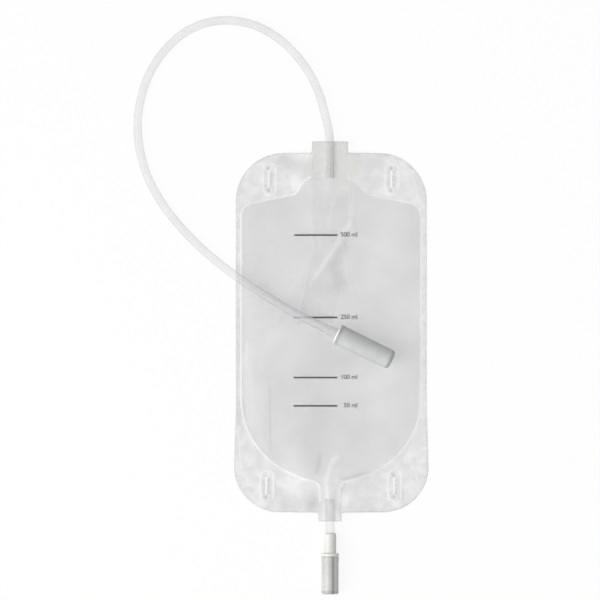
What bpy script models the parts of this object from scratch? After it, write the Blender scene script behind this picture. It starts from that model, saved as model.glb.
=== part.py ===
# Leg bag for urine drainage, 500 ml, lying on its back with the printed side up.
# The inlet tab points to +Y and the outlet to -Y. Lengths are in metres.
# The origin is on the floor, under the middle of the bag and its outlet.

from math import cos, hypot, pi, radians, sin, sqrt

import bmesh
import bpy
import numpy as np
from mathutils import Vector
from mathutils.geometry import delaunay_2d_cdt

MM = 0.001
GAP = 0.3 * MM                # clearance between pieces that meet

# the two big films
FILM_T = 0.3 * MM
BAG_HALF_W = 66.4 * MM        # half the width at the middle
FOOT_FLARE = 2.4 * MM         # how far each side leans out by the foot
BAG_TOP = 150.2 * MM
BAG_FOOT = -101.3 * MM
TOP_CORNER_R = 31.0 * MM
FOOT_CORNER_R = 34.0 * MM
FLARE_START = -30.0 * MM
TAB_HALF_W = 12.6 * MM        # the neck of film that holds the inlet tube
TAB_H = 8.1 * MM
TAB_LIFT = 0.05 * MM          # between the tab and the floor
NECK_HALF_W = 8.1 * MM        # the neck of film that holds the outlet tube
NECK_H = 6.1 * MM
ROOT_R = 1.8 * MM             # fillet where tab and neck meet the bag
TIP_R = 0.7 * MM

# the weld line that closes the chamber
WELD_MARGIN = 3.6 * MM        # from the side edge to the weld line
WELD_HALF_W = 0.8 * MM
WELD_H = 0.35 * MM
TAB_WELD_H = 25.0 * MM        # depth of the welded block round the inlet tube
SHOULDER_X = 25.0 * MM        # where the line turns from the tab to the shoulder
SHOULDER_DROP = 12.0 * MM     # from the tab weld down to that turn
SHOULDER_FALL = 7.8 * MM      # from that turn down to the outer corner
SHOULDER_R = 10.0 * MM
WELD_CORNER_R = 9.5 * MM
BOWL_TOP = -22.2 * MM         # where the straight sides turn into the round foot
BOWL_H = 58.0 * MM
THROAT_R = 6.0 * MM           # fillet from the round foot into the neck
THROAT_H = 14.0 * MM          # from the bowl's foot down the neck

# how full the chamber stands, empty but not pressed flat
PUFF_H = 3.5 * MM
PUFF_REACH = 12.0 * MM
INLET_RAMP = 46.0 * MM        # length over which the films rise to each tube
OUTLET_RAMP = 46.0 * MM
TENT_FADE = 18.0 * MM         # length over which a film leaves the end of a tube
VALVE_FADE = 12.0 * MM
TENT_LEAD = 2.0 * MM          # how far a film stays wrapped past the tube's end
INLET_FILLET = 5.0 * MM       # hollow beside each tube, where its film comes down
OUTLET_FILLET = 2.8 * MM

# strap slots: a slit between two round ends, in a raised oval rim
SLOT_INSET = 22.8 * MM        # from the side edge to the slot
SLOT_TOP_DROP = 17.1 * MM     # from the top edge down to the upper slots
SLOT_FOOT_RISE = 18.2 * MM    # from the foot edge up to the lower slots
SLOT_SHIFT = -0.8 * MM        # the slit stands a little to the left in its rim
SLIT_HALF_W = 0.45 * MM
EYE_PITCH = 15.0 * MM         # between the two round ends
EYE_R = 2.4 * MM
RIM_HALF_W = 4.1 * MM
RIM_H = 22.0 * MM
BEAD_HALF_W = 0.55 * MM
BEAD_H = 0.28 * MM
BAR_HALF_W = 1.1 * MM         # from the slit to the raised line beside it

# one-way valve: two strips that hang from the tab into the chamber
VALVE_T = 0.2 * MM
VALVE_HALF_W = 12.2 * MM
VALVE_L = 128.0 * MM
VALVE_LIFT = 1.1 * MM         # how high it lies over the bottom film
VALVE_SWAY = 12.0 * MM        # how far its lower half drifts to the left
SWAY_START = 95.0 * MM
SWAY_L = 86.4 * MM            # length over which it would drift all the way

# inlet tube, a free cord
TUBE_R = 3.0 * MM
TUBE_INSERT = 25.6 * MM       # length inside the tab
TUBE_STEPS = 2                # points of the tube for each point of its route

# connector on the inlet tube, and its cap
CONNECTOR_AT = (4.8 * MM, 23.7 * MM)
CONNECTOR_TURN = -25.8        # degrees from +X, seen from above
STOP_R = 7.4 * MM
STOP_T = 1.2 * MM
SOCKET_L = 7.0 * MM
SOCKET_WALL = 0.7 * MM
SEAT_L = 5.0 * MM             # the collar that grips the cap
SPIGOT_L = 38.2 * MM
SPIGOT_STEPS = 3
SPIGOT_TIP_R = 4.2 * MM
SPIGOT_BORE_R = 2.2 * MM
SPIGOT_CHAMFER = 0.35 * MM
CAP_MOUTH_R = 7.15 * MM
CAP_END_R = 6.8 * MM
CAP_WALL = 1.0 * MM
CAP_ROUND = 2.6 * MM
CAP_END_ROOM = 2.4 * MM       # between the spigot's tip and the cap's end
CAP_RIM_L = 1.9 * MM
CAP_RIM_PROUD = 0.12 * MM
CAP_DRAFT = 0.8 * MM          # how much the inside narrows to its end

EDGE = 0.3 * MM               # small bevels on the moulded pieces

# outlet tube, its spout and the cap on it
DRAIN_R = 3.43 * MM
DRAIN_BORE_R = 2.35 * MM
DRAIN_INSERT = 15.5 * MM      # length inside the neck
DRAIN_OPEN = 8.3 * MM         # bare length between the neck and the spout
DRAIN_GRIP = 9.0 * MM         # length inside the spout
SLEEVE_R = 4.4 * MM
SLEEVE_L = 14.0 * MM
SLEEVE_TAPER = 1.8 * MM
FLANGE_R = 6.4 * MM
FLANGE_T = 2.2 * MM
COLLAR_L = 6.0 * MM
NOZZLE_L = 23.1 * MM
NOZZLE_TIP_R = 3.3 * MM
PLUG_R = 6.0 * MM             # outlet cap
PLUG_WALL = 0.9 * MM
PLUG_ROUND = 1.3 * MM
PLUG_END_ROOM = 2.4 * MM
PLUG_RIM_L = 3.2 * MM
PLUG_RIM_PROUD = 0.2 * MM
PLUG_DRAFT = 0.5 * MM

# how fine the pieces are
NET_PITCH = 2.5 * MM          # of the grid that the films' nets take their points from
WELD_SPACING = 3.6 * MM       # between the net's points by the weld line
RAMP_SPACING = 4.9 * MM       # where the films rise to the tubes
OPEN_SPACING = 14.0 * MM      # in the open middle
SPACING_GROWTH = 0.35         # how fast the spacing grows away from the weld line
VALVE_SPACING = 7.0 * MM
OUTLINE_STEP = 9.0 * MM
WELD_STEP = 7.5 * MM
TUNNEL_STEP = 6.0 * MM        # along the two tubes
ARCH_SHARES = (0.0, 0.42, 0.76, 1.0)    # lines over a tube, from its middle to its side
FILLET_SHARE = 0.45           # one more line, in the hollow beside the tube
BOWL_STEPS = 13
CAP_TURN_STEPS = 32           # sides of the caps
TURN_STEPS = 24               # sides of the other round pieces

# worked out from the sizes above
WELD_MID = FILM_T + GAP / 2   # middle of the welded edge where it lies on the floor
TAB_TOP = BAG_TOP + TAB_H
NECK_FOOT = BAG_FOOT - NECK_H
VALVE_ROOM = VALVE_T + GAP    # what each valve strip adds under its film
INLET_HALF = TUBE_R + GAP + VALVE_ROOM + FILM_T
INLET_Z = INLET_HALF + TAB_LIFT
OUTLET_Z = FLANGE_R
TUBE_END_Y = TAB_TOP - TUBE_INSERT
DRAIN_TOP_Y = NECK_FOOT + DRAIN_INSERT
WELD_HALF_X = BAG_HALF_W - WELD_MARGIN
FILM_TOP_Z = WELD_MID + GAP / 2 + FILM_T + PUFF_H
CONNECTOR_Z = FILM_TOP_Z + GAP + STOP_R

# route of the inlet tube, chosen by hand: from the tab, round its loop on the floor,
# over the left edge and across the front of the bag to the connector
TUBE_ROUTE = [
    (0.0, TUBE_END_Y, INLET_Z),
    (0.0, TUBE_END_Y + TUBE_INSERT / 2, INLET_Z),
    (0.0, TAB_TOP, INLET_Z),
    (-0.0018, 0.1705, 0.0036),
    (-0.0092, 0.1957, 0.0031),
    (-0.0207, 0.2150, 0.0031),
    (-0.0366, 0.2307, 0.0031),
    (-0.0566, 0.2407, 0.0031),
    (-0.0790, 0.2426, 0.0031),
    (-0.1001, 0.2354, 0.0031),
    (-0.1168, 0.2205, 0.0031),
    (-0.1282, 0.2013, 0.0031),
    (-0.1339, 0.1796, 0.0031),
    (-0.1338, 0.1572, 0.0031),
    (-0.1283, 0.1355, 0.0031),
    (-0.1179, 0.1156, 0.0031),
    (-0.1041, 0.0979, 0.0032),
    (-0.0883, 0.0820, 0.0037),
    (-0.0709, 0.0678, 0.0049),
    (-0.0518, 0.0545, 0.0068),
    (-0.0328, 0.0428, 0.0084),
    (-0.0180, 0.0348, 0.0100),
    (-0.0060, 0.0289, 0.0115),
]


def clear_scene():
    for thing in list(bpy.data.objects):
        bpy.data.objects.remove(thing, do_unlink=True)
    for group in list(bpy.data.collections):
        bpy.data.collections.remove(group)


def make_material(name, colour, roughness, alpha=1.0):
    made = bpy.data.materials.new(name)
    made.use_nodes = True
    shader = made.node_tree.nodes["Principled BSDF"]
    shader.inputs["Base Color"].default_value = (*colour, 1.0)
    shader.inputs["Roughness"].default_value = roughness
    shader.inputs["Metallic"].default_value = 0.0
    shader.inputs["Alpha"].default_value = alpha
    made.diffuse_color = (*colour, alpha)
    return made


def add_object(name, data, material, parent=None):
    made = bpy.data.objects.new(name, data)
    bpy.data.collections["urine_drainage_bag"].objects.link(made)
    made.data.materials.append(material)
    made.parent = parent
    return made


# flat outlines

def round_corners(corners, step=radians(15)):
    """Path through (x, y, radius) corners, each turned with an arc of its radius."""
    path = []
    last = len(corners) - 1
    for i, (x, y, radius) in enumerate(corners):
        here = Vector((x, y))
        if radius <= 0 or i in (0, last):
            path.append((x, y))
            continue
        back = (Vector(corners[i - 1][:2]) - here).normalized()
        ahead = (Vector(corners[i + 1][:2]) - here).normalized()
        half = back.angle(ahead) / 2
        centre = here + (back + ahead).normalized() * radius / sin(half)
        sweep = pi - 2 * half
        first = here + back * radius / (sin(half) / cos(half)) - centre
        side = 1 if back.cross(ahead) < 0 else -1
        count = max(2, round(sweep / step))
        for k in range(count + 1):
            turned = side * sweep * k / count
            path.append((
                centre.x + first.x * cos(turned) - first.y * sin(turned),
                centre.y + first.x * sin(turned) + first.y * cos(turned),
            ))
    return path


def split_long(path, most, closed=False):
    """The same path with extra points, so that no step is longer than most."""
    ends = path[1:] + path[:1] if closed else path[1:]
    dense = []
    for (x0, y0), (x1, y1) in zip(path, ends):
        count = max(1, round(hypot(x1 - x0, y1 - y0) / most))
        for k in range(count):
            dense.append((x0 + (x1 - x0) * k / count, y0 + (y1 - y0) * k / count))
    return dense if closed else dense + path[-1:]


def both_sides(right):
    """A right-hand half path, top to foot, closed with its mirror image."""
    left = [(-x, y) for x, y in reversed(right)]
    return right + left


def beside(path, distance, closed):
    """A copy of a path moved sideways, to its left where distance is positive."""
    moved = []
    count = len(path)
    for i, (x, y) in enumerate(path):
        before = path[i - 1] if i or closed else path[0]
        after = path[(i + 1) % count] if i < count - 1 or closed else path[-1]
        along = (Vector(after) - Vector(before)).normalized()
        moved.append((x - along.y * distance, y + along.x * distance))
    return moved


def bag_outline():
    foot_x = BAG_HALF_W + FOOT_FLARE
    right = round_corners([
        (0.0, TAB_TOP, 0.0),
        (TAB_HALF_W, TAB_TOP, TIP_R),
        (TAB_HALF_W, BAG_TOP, ROOT_R),
        (BAG_HALF_W, BAG_TOP, TOP_CORNER_R),
        (BAG_HALF_W, FLARE_START, 0.0),
        (foot_x, BAG_FOOT, FOOT_CORNER_R),
        (NECK_HALF_W, BAG_FOOT, ROOT_R),
        (NECK_HALF_W, NECK_FOOT, TIP_R),
        (0.0, NECK_FOOT, 0.0),
    ])
    return split_long(both_sides(right[1:-1]), OUTLINE_STEP, closed=True)


def chamber_line():
    """Centre of the weld line, closed across the two tubes."""
    top = TAB_TOP - TAB_WELD_H
    turn_y = top - SHOULDER_DROP
    corner_y = turn_y - SHOULDER_FALL
    bowl = []
    bowl_foot = BOWL_TOP - BOWL_H
    stop = NECK_HALF_W + THROAT_R
    for k in range(1, BOWL_STEPS):
        x = WELD_HALF_X * cos(pi / 2 * k / BOWL_STEPS)
        if x > stop + ROOT_R:
            bowl.append((x, BOWL_TOP - BOWL_H * sqrt(1 - (x / WELD_HALF_X) ** 2), 0.0))
    throat_x = NECK_HALF_W - WELD_HALF_W
    right = round_corners([
        (TAB_HALF_W + WELD_HALF_W, top, 0.0),
        (SHOULDER_X, turn_y, SHOULDER_R),
        (WELD_HALF_X, corner_y, WELD_CORNER_R),
        (WELD_HALF_X, BOWL_TOP, 0.0),
        *bowl,
        (throat_x, bowl_foot, THROAT_R),
        (throat_x, bowl_foot - THROAT_H, 0.0),
    ])
    return split_long(right, WELD_STEP)


def oval(x, y, half_w, height, count=5):
    """Upright oval with round ends, counter-clockwise."""
    straight = height / 2 - half_w
    ring = []
    for centre_y, start in ((y + straight, 0), (y - straight, pi)):
        for k in range(count + 1):
            a = start + pi * k / count
            ring.append((x + half_w * cos(a), centre_y + half_w * sin(a)))
    return ring


def dumbbell(x, y, eye_r, bar_half_w, count=8):
    """Two round eyes joined by a bar, counter-clockwise."""
    start = np.arcsin(bar_half_w / eye_r)
    ring = []
    for side in (1, -1):
        for k in range(count + 1):
            a = -pi / 2 + start + (2 * pi - 2 * start) * k / count
            ring.append((x + side * eye_r * cos(a), y + side * (EYE_PITCH / 2 + eye_r * sin(a))))
    return ring


def slot_places():
    x = BAG_HALF_W - SLOT_INSET
    for y in (BAG_TOP - SLOT_TOP_DROP, BAG_FOOT + SLOT_FOOT_RISE):
        for side in (-1, 1):
            yield side * x, y


def slit(x, y):
    length = EYE_PITCH - 2 * (EYE_R - BEAD_HALF_W)
    return oval(x + SLOT_SHIFT, y, SLIT_HALF_W, length, count=3)


# heights, worked out for arrays of x and y

def ease(t):
    """From 0 to 1 in two parabolas, the evenest bend that joins two levels."""
    t = np.clip(t, 0.0, 1.0)
    return np.where(t < 0.5, 2 * t * t, 1 - 2 * (1 - t) ** 2)


def distance_to(x, y, path, closed=True):
    a = np.array(path)
    b = np.roll(a, -1, axis=0) if closed else a[1:]
    a = a if closed else a[:-1]
    best = np.full(np.shape(x), np.inf)
    for (ax, ay), (bx, by) in zip(a, b):
        dx, dy = bx - ax, by - ay
        t = np.clip(((x - ax) * dx + (y - ay) * dy) / (dx * dx + dy * dy), 0, 1)
        best = np.minimum(best, np.hypot(x - ax - t * dx, y - ay - t * dy))
    return best


def inside(x, y, loop):
    odd = np.zeros(np.shape(x), bool)
    for (ax, ay), (bx, by) in zip(loop, loop[1:] + loop[:1]):
        if ay != by:
            crosses = ((ay > y) != (by > y)) & (x < ax + (y - ay) * (bx - ax) / (by - ay))
            odd ^= crosses
    return odd


def tunnel(x, radius, fillet, base):
    """How far a film wrapped over a tube stands above its flat height base."""
    reach = sqrt((radius + fillet) ** 2 - (base + fillet) ** 2)
    touch = radius * reach / (radius + fillet)
    ax = np.abs(x)
    arch = np.sqrt(np.maximum(radius ** 2 - np.minimum(ax, touch) ** 2, 0))
    foot = base + fillet - np.sqrt(fillet ** 2 - np.clip(reach - ax, 0, fillet) ** 2)
    return np.where(ax < touch, arch, foot) - base


def middle(x, y):
    """Height of the surface half-way between the two films."""
    inner = max(TAB_HALF_W, NECK_HALF_W)
    outer = BAG_HALF_W - SLOT_INSET - RIM_HALF_W - 3 * BEAD_HALF_W
    across = 1 - ease((np.abs(x) - inner) / (outer - inner))
    up = ease((y - TUBE_END_Y + TENT_LEAD + INLET_RAMP) / INLET_RAMP)
    down = ease((DRAIN_TOP_Y + TENT_LEAD + OUTLET_RAMP - y) / OUTLET_RAMP)
    return WELD_MID + across * ((INLET_Z - WELD_MID) * up + (OUTLET_Z - WELD_MID) * down)


def puff(x, y, chamber):
    depth = np.where(inside(x, y, chamber), distance_to(x, y, chamber), 0.0)
    return PUFF_H * (1 - np.exp(-depth / PUFF_REACH))


def in_tab(x, y):
    """1 where the valve strips lie between the films, 0 where they don't."""
    across = 1 - ease((np.abs(x) - TAB_HALF_W - GAP) / (TAB_HALF_W / 3))
    return across * ease((y - TUBE_END_Y + TENT_LEAD + VALVE_FADE) / VALVE_FADE)


def tents(x, y):
    """What the two tubes lift off the middle surface."""
    over_inlet = tunnel(x, TUBE_R + GAP + VALVE_ROOM, INLET_FILLET, GAP / 2 + VALVE_ROOM)
    over_drain = tunnel(x, DRAIN_R + GAP, OUTLET_FILLET, GAP / 2)
    fade_in = ease((y - TUBE_END_Y + TENT_LEAD + TENT_FADE) / TENT_FADE)
    fade_out = ease((DRAIN_TOP_Y + TENT_LEAD + TENT_FADE - y) / TENT_FADE)
    return over_inlet * fade_in + over_drain * fade_out


def bead(distance, half_w, height):
    return height * np.clip(1 - (distance / half_w) ** 2, 0, 1)


def front_inner(x, y, chamber, rims):
    lift = np.hypot(tents(x, y), puff(x, y, chamber))
    z = middle(x, y) + GAP / 2 + VALVE_ROOM * in_tab(x, y) + lift
    right, left = chamber[:len(chamber) // 2], chamber[len(chamber) // 2:]
    weld = np.minimum(distance_to(x, y, right, False), distance_to(x, y, left, False))
    z += bead(weld, WELD_HALF_W, WELD_H)
    for rim in rims:
        z += bead(distance_to(x, y, rim), BEAD_HALF_W, BEAD_H)
    return z


def back_inner(x, y):
    z = middle(x, y) - GAP / 2 - VALVE_ROOM * in_tab(x, y) - tents(x, y)
    return np.maximum(z, FILM_T)


def valve_middle(x, y):
    sunk = 1 - ease((y - TUBE_END_Y + TENT_LEAD + TENT_FADE) / TENT_FADE)
    return middle(x, y) + VALVE_LIFT * sunk


def valve_tent(x, y):
    over = tunnel(x, TUBE_R + GAP, INLET_FILLET + VALVE_ROOM, GAP / 2)
    return over * ease((y - TUBE_END_Y + TENT_LEAD + VALVE_FADE) / VALVE_FADE)


# films as meshes

def spread(loops, x_range, y_range, pitch, spacing):
    """Loose points that fill the room between given ones, no closer than spacing."""
    taken = np.array([p for loop in loops for p in loop])
    added = []
    rows = int((y_range[1] - y_range[0]) / pitch)
    columns = int((x_range[1] - x_range[0]) / pitch)
    for j in range(rows + 1):
        for i in range(columns + 1):
            x = x_range[0] + (i + 0.5 * (j % 2)) * pitch
            y = y_range[0] + j * pitch
            room = spacing(x, y)
            if np.min(np.hypot(taken[:, 0] - x, taken[:, 1] - y)) > room:
                added.append((x, y))
                taken = np.vstack([taken, (x, y)])
    return added


def make_sheet(name, outline, holes, lines, loose, height, thickness, upward, material):
    """A film: a flat net of triangles lifted to its height, then given its thickness."""
    places, edges = [], []
    for path, closed in [(outline, True)] + [(h, True) for h in holes] + lines:
        first = len(places)
        places += path
        edges += [(first + k, first + k + 1) for k in range(len(path) - 1)]
        if closed:
            edges.append((len(places) - 1, first))
    places += loose
    net = delaunay_2d_cdt([Vector(p) / MM for p in places], edges, [], 1, 1e-4)
    flat = np.array([(v.x * MM, v.y * MM) for v in net[0]])
    faces = []
    for face in net[2]:
        cx, cy = flat[list(face)].mean(axis=0)
        if inside(cx, cy, outline) and not any(inside(cx, cy, h) for h in holes):
            faces.append(face)
    used = sorted({v for face in faces for v in face})
    number = {v: k for k, v in enumerate(used)}
    z = height(flat[used, 0], flat[used, 1])
    mesh = bpy.data.meshes.new(name)
    mesh.from_pydata(
        [(*flat[v], z[k]) for k, v in enumerate(used)], [],
        [[number[v] for v in face] for face in faces],
    )
    shape = bmesh.new()
    shape.from_mesh(mesh)
    for face in shape.faces:
        face.normal_update()
        if face.normal.z < 0:
            face.normal_flip()
    shape.to_mesh(mesh)
    shape.free()
    made = add_object(name, mesh, material)
    solid = made.modifiers.new("thickness", "SOLIDIFY")
    solid.thickness = thickness
    solid.offset = 1.0 if upward else -1.0
    mesh.shade_smooth()
    mesh.set_sharp_from_angle(angle=radians(40))
    return made


def tunnel_lines(radius, fillet, y_from, y_to):
    """Lines along a tube where the film over it bends most."""
    reach = sqrt((radius + fillet) ** 2 - (GAP / 2 + fillet) ** 2)
    touch = radius * reach / (radius + fillet)
    count = max(2, round(abs(y_to - y_from) / TUNNEL_STEP))
    lines = []
    for share in ARCH_SHARES:
        for side in ((1, -1) if share else (1,)):
            x = side * share * touch
            lines.append(([(x, y_from + (y_to - y_from) * k / count) for k in range(count + 1)], False))
    for side in (1, -1):
        for x in (touch + FILLET_SHARE * (reach - touch), reach):
            lines.append(([(side * x, y_from + (y_to - y_from) * k / count)
                           for k in range(count + 1)], False))
    return lines


def port_lines():
    past = TENT_LEAD + TENT_FADE
    inlet = tunnel_lines(TUBE_R + GAP + VALVE_ROOM, INLET_FILLET, TAB_TOP, TUBE_END_Y - past)
    drain = tunnel_lines(DRAIN_R + GAP, OUTLET_FILLET, NECK_FOOT, DRAIN_TOP_Y + past)
    return inlet + drain


def film_spacing(chamber):
    """Finer by the weld line and by the two tubes than in the open middle."""
    ramp_top = TUBE_END_Y - TENT_LEAD - INLET_RAMP
    ramp_foot = DRAIN_TOP_Y + TENT_LEAD + OUTLET_RAMP
    ramp_half_w = BAG_HALF_W - SLOT_INSET

    def spacing(x, y):
        room = WELD_SPACING + SPACING_GROWTH * distance_to(x, y, chamber)
        if abs(x) < ramp_half_w and (y > ramp_top or y < ramp_foot):
            room = min(room, RAMP_SPACING)
        return min(room, OPEN_SPACING)
    return spacing


def keep_in(points, outline, holes, margin):
    """Points inside the outline and off the holes, with a margin to both."""
    kept = []
    for x, y in points:
        if inside(x, y, outline) and distance_to(x, y, outline) > margin:
            if all(not inside(x, y, h) and distance_to(x, y, h) > margin for h in holes):
                kept.append((x, y))
    return kept


def build_films(film):
    outline = bag_outline()
    right = chamber_line()
    chamber = both_sides(right)
    left = [(-x, y) for x, y in right]
    slits = [slit(x, y) for x, y in slot_places()]
    x_range = (-BAG_HALF_W - FOOT_FLARE, BAG_HALF_W + FOOT_FLARE)
    y_range = (NECK_FOOT, TAB_TOP)

    # both films use the same net, so they stay parallel where they rise to the tubes
    lines = port_lines()
    for half in (right, left):
        lines += [(half, False), (beside(half, WELD_HALF_W, False), False),
                  (beside(half, -WELD_HALF_W, False), False)]
    rims, rim_lines = [], []
    for x, y in slot_places():
        rims.append(oval(x, y, RIM_HALF_W, RIM_H))
        rims.append(dumbbell(x + SLOT_SHIFT, y, EYE_R, BAR_HALF_W))
    for rim in rims:
        rim_lines += [(rim, True), (beside(rim, BEAD_HALF_W, True), True),
                      (beside(rim, -BEAD_HALF_W, True), True)]
    loops = [outline] + slits + [path for path, closed in lines + rim_lines]
    loose = spread(loops, x_range, y_range, NET_PITCH, film_spacing(chamber))
    loose = keep_in(loose, outline, slits, NET_PITCH / 2)
    make_sheet("front_film", outline, slits, lines + rim_lines, loose,
               lambda x, y: front_inner(x, y, chamber, rims), FILM_T, True, film)
    make_sheet("back_film", outline, slits, lines, loose, back_inner, FILM_T, False, film)


def valve_outline():
    """One strip of the valve: straight in the tab, drifting left to its free end."""
    foot = TAB_TOP - VALVE_L
    rows = split_long([(0.0, TAB_TOP - GAP), (0.0, foot)], VALVE_SPACING)
    right = []
    for x, y in rows:
        drift = VALVE_SWAY * ease((SWAY_START - y) / SWAY_L)
        right.append((VALVE_HALF_W - drift, y))
    left = [(x - 2 * VALVE_HALF_W, y) for x, y in reversed(right)]
    return split_long(right + left, VALVE_SPACING, closed=True)


def build_valve(film):
    outline = valve_outline()
    lines = tunnel_lines(TUBE_R + GAP, INLET_FILLET + VALVE_ROOM,
                         TAB_TOP - GAP, TUBE_END_Y - TENT_LEAD - VALVE_FADE)
    loops = [outline] + [path for path, closed in lines]
    loose = spread(loops, (-VALVE_HALF_W - VALVE_SWAY, VALVE_HALF_W),
                   (TAB_TOP - VALVE_L, TAB_TOP), NET_PITCH, lambda x, y: VALVE_SPACING)
    loose = keep_in(loose, outline, [], NET_PITCH)
    make_sheet("valve_front_film", outline, [], lines, loose,
               lambda x, y: valve_middle(x, y) + GAP / 2 + valve_tent(x, y),
               VALVE_T, True, film)
    make_sheet("valve_back_film", outline, [], lines, loose,
               lambda x, y: valve_middle(x, y) - GAP / 2 - valve_tent(x, y),
               VALVE_T, False, film)


# the inlet tube

def smooth_route(points, steps):
    """Points read from a smooth curve through the route's own points."""
    places = [Vector(p) for p in points]
    places = [2 * places[0] - places[1]] + places + [2 * places[-1] - places[-2]]
    path = []
    for a, b, c, d in zip(places, places[1:], places[2:], places[3:]):
        for k in range(steps):
            t = k / steps
            path.append(0.5 * ((2 * b) + (c - a) * t + (2 * a - 5 * b + 4 * c - d) * t ** 2
                               + (3 * b - a - 3 * c + d) * t ** 3))
    return path + [places[-2]]


def connector_direction():
    turn = radians(CONNECTOR_TURN)
    return Vector((cos(turn), sin(turn), 0.0))


def build_tube(plastic):
    end = Vector((*CONNECTOR_AT, CONNECTOR_Z))
    along = connector_direction()
    route = TUBE_ROUTE + [end - along * SOCKET_L * 0.5, end]
    path = smooth_route(route[2:], TUBE_STEPS)
    path = [Vector(p) for p in route[:2]] + path
    curve = bpy.data.curves.new("inlet_tube", "CURVE")
    curve.dimensions = "3D"
    curve.bevel_depth = TUBE_R
    curve.bevel_resolution = 3
    curve.use_fill_caps = True
    line = curve.splines.new("POLY")
    line.points.add(len(path) - 1)
    for point, place in zip(line.points, path):
        point.co = (*place, 1.0)
    line.use_smooth = True
    return add_object("inlet_tube", curve, plastic)


# turned pieces: profiles are (radius, distance along the axis)

def turned(name, profile, sides, material, parent, closed=True, along=0.0):
    """A solid turned from its profile, which runs down the outside and up the inside."""
    mesh = bpy.data.meshes.new(name)
    count = len(profile)
    edges = [(k, k + 1) for k in range(count - 1)]
    if closed:
        edges.append((count - 1, 0))
    mesh.from_pydata([(r, 0.0, s) for r, s in profile], edges, [])
    made = add_object(name, mesh, material, parent)
    made.location = (0.0, 0.0, along)
    screw = made.modifiers.new("turned", "SCREW")
    screw.axis = "Z"
    screw.steps = sides
    screw.render_steps = sides
    screw.use_merge_vertices = not closed
    screw.merge_threshold = 0.00001
    screw.use_smooth_shade = True
    return made


def round_edge(side_r, end, radius, count=4):
    """A rounded outer edge, from the end face down to the side wall."""
    edge = []
    for k in range(count, -1, -1):
        a = pi / 2 * k / count
        edge.append((side_r - radius + radius * cos(a), end - radius + radius * sin(a)))
    return edge


def axis_empty(name, place, direction):
    made = bpy.data.objects.new(name, None)
    bpy.data.collections["urine_drainage_bag"].objects.link(made)
    made.location = place
    made.rotation_mode = "QUATERNION"
    made.rotation_quaternion = direction.to_track_quat("Z", "Y")
    return made


def build_connector(clear_plastic, grey_plastic):
    """Stepped spigot for the sheath, its stop flange, the tube socket and the cap."""
    axis = axis_empty("connector_axis", (*CONNECTOR_AT, CONNECTOR_Z), connector_direction())
    socket_r = TUBE_R + GAP
    sleeve_r = socket_r + SOCKET_WALL
    seat_r = CAP_MOUTH_R - CAP_WALL - GAP
    tip = STOP_T + SPIGOT_L
    seat_end = STOP_T + SEAT_L
    step_l = (tip - seat_end) / SPIGOT_STEPS
    profile = [
        (socket_r, -SOCKET_L), (socket_r, GAP), (SPIGOT_BORE_R, STOP_T),
        (SPIGOT_BORE_R, tip),
    ]
    for k in range(SPIGOT_STEPS, 0, -1):
        radius = seat_r + (SPIGOT_TIP_R - seat_r) * k / SPIGOT_STEPS
        start = seat_end + (k - 1) * step_l
        profile += [(radius - SPIGOT_CHAMFER, start + step_l),
                    (radius, start + step_l / 2), (radius, start)]
    profile += [
        (seat_r, seat_end), (seat_r, STOP_T), (STOP_R - EDGE, STOP_T),
        (STOP_R, STOP_T - EDGE), (STOP_R, EDGE), (STOP_R - EDGE, 0.0),
        (sleeve_r + 2 * EDGE, 0.0), (sleeve_r, -2 * EDGE),
        (sleeve_r, EDGE - SOCKET_L), (sleeve_r - EDGE, -SOCKET_L),
    ]
    turned("inlet_connector", profile, TURN_STEPS, clear_plastic, axis)

    mouth = STOP_T + GAP
    length = tip + CAP_END_ROOM + CAP_WALL - mouth
    inner = CAP_MOUTH_R - CAP_WALL
    inner_end = CAP_END_R - CAP_WALL - CAP_DRAFT
    rim_r = CAP_MOUTH_R + CAP_RIM_PROUD
    cap = [(0.0, length)] + round_edge(CAP_END_R, length, CAP_ROUND) + [
        (CAP_MOUTH_R, CAP_RIM_L + EDGE), (rim_r, CAP_RIM_L), (rim_r, EDGE),
        (CAP_MOUTH_R, 0.0), (inner, 0.0), (inner, SEAT_L),
        (inner_end, length - CAP_WALL), (0.0, length - CAP_WALL),
    ]
    turned("connector_cap", cap, CAP_TURN_STEPS, grey_plastic, axis, closed=False, along=mouth)


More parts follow.
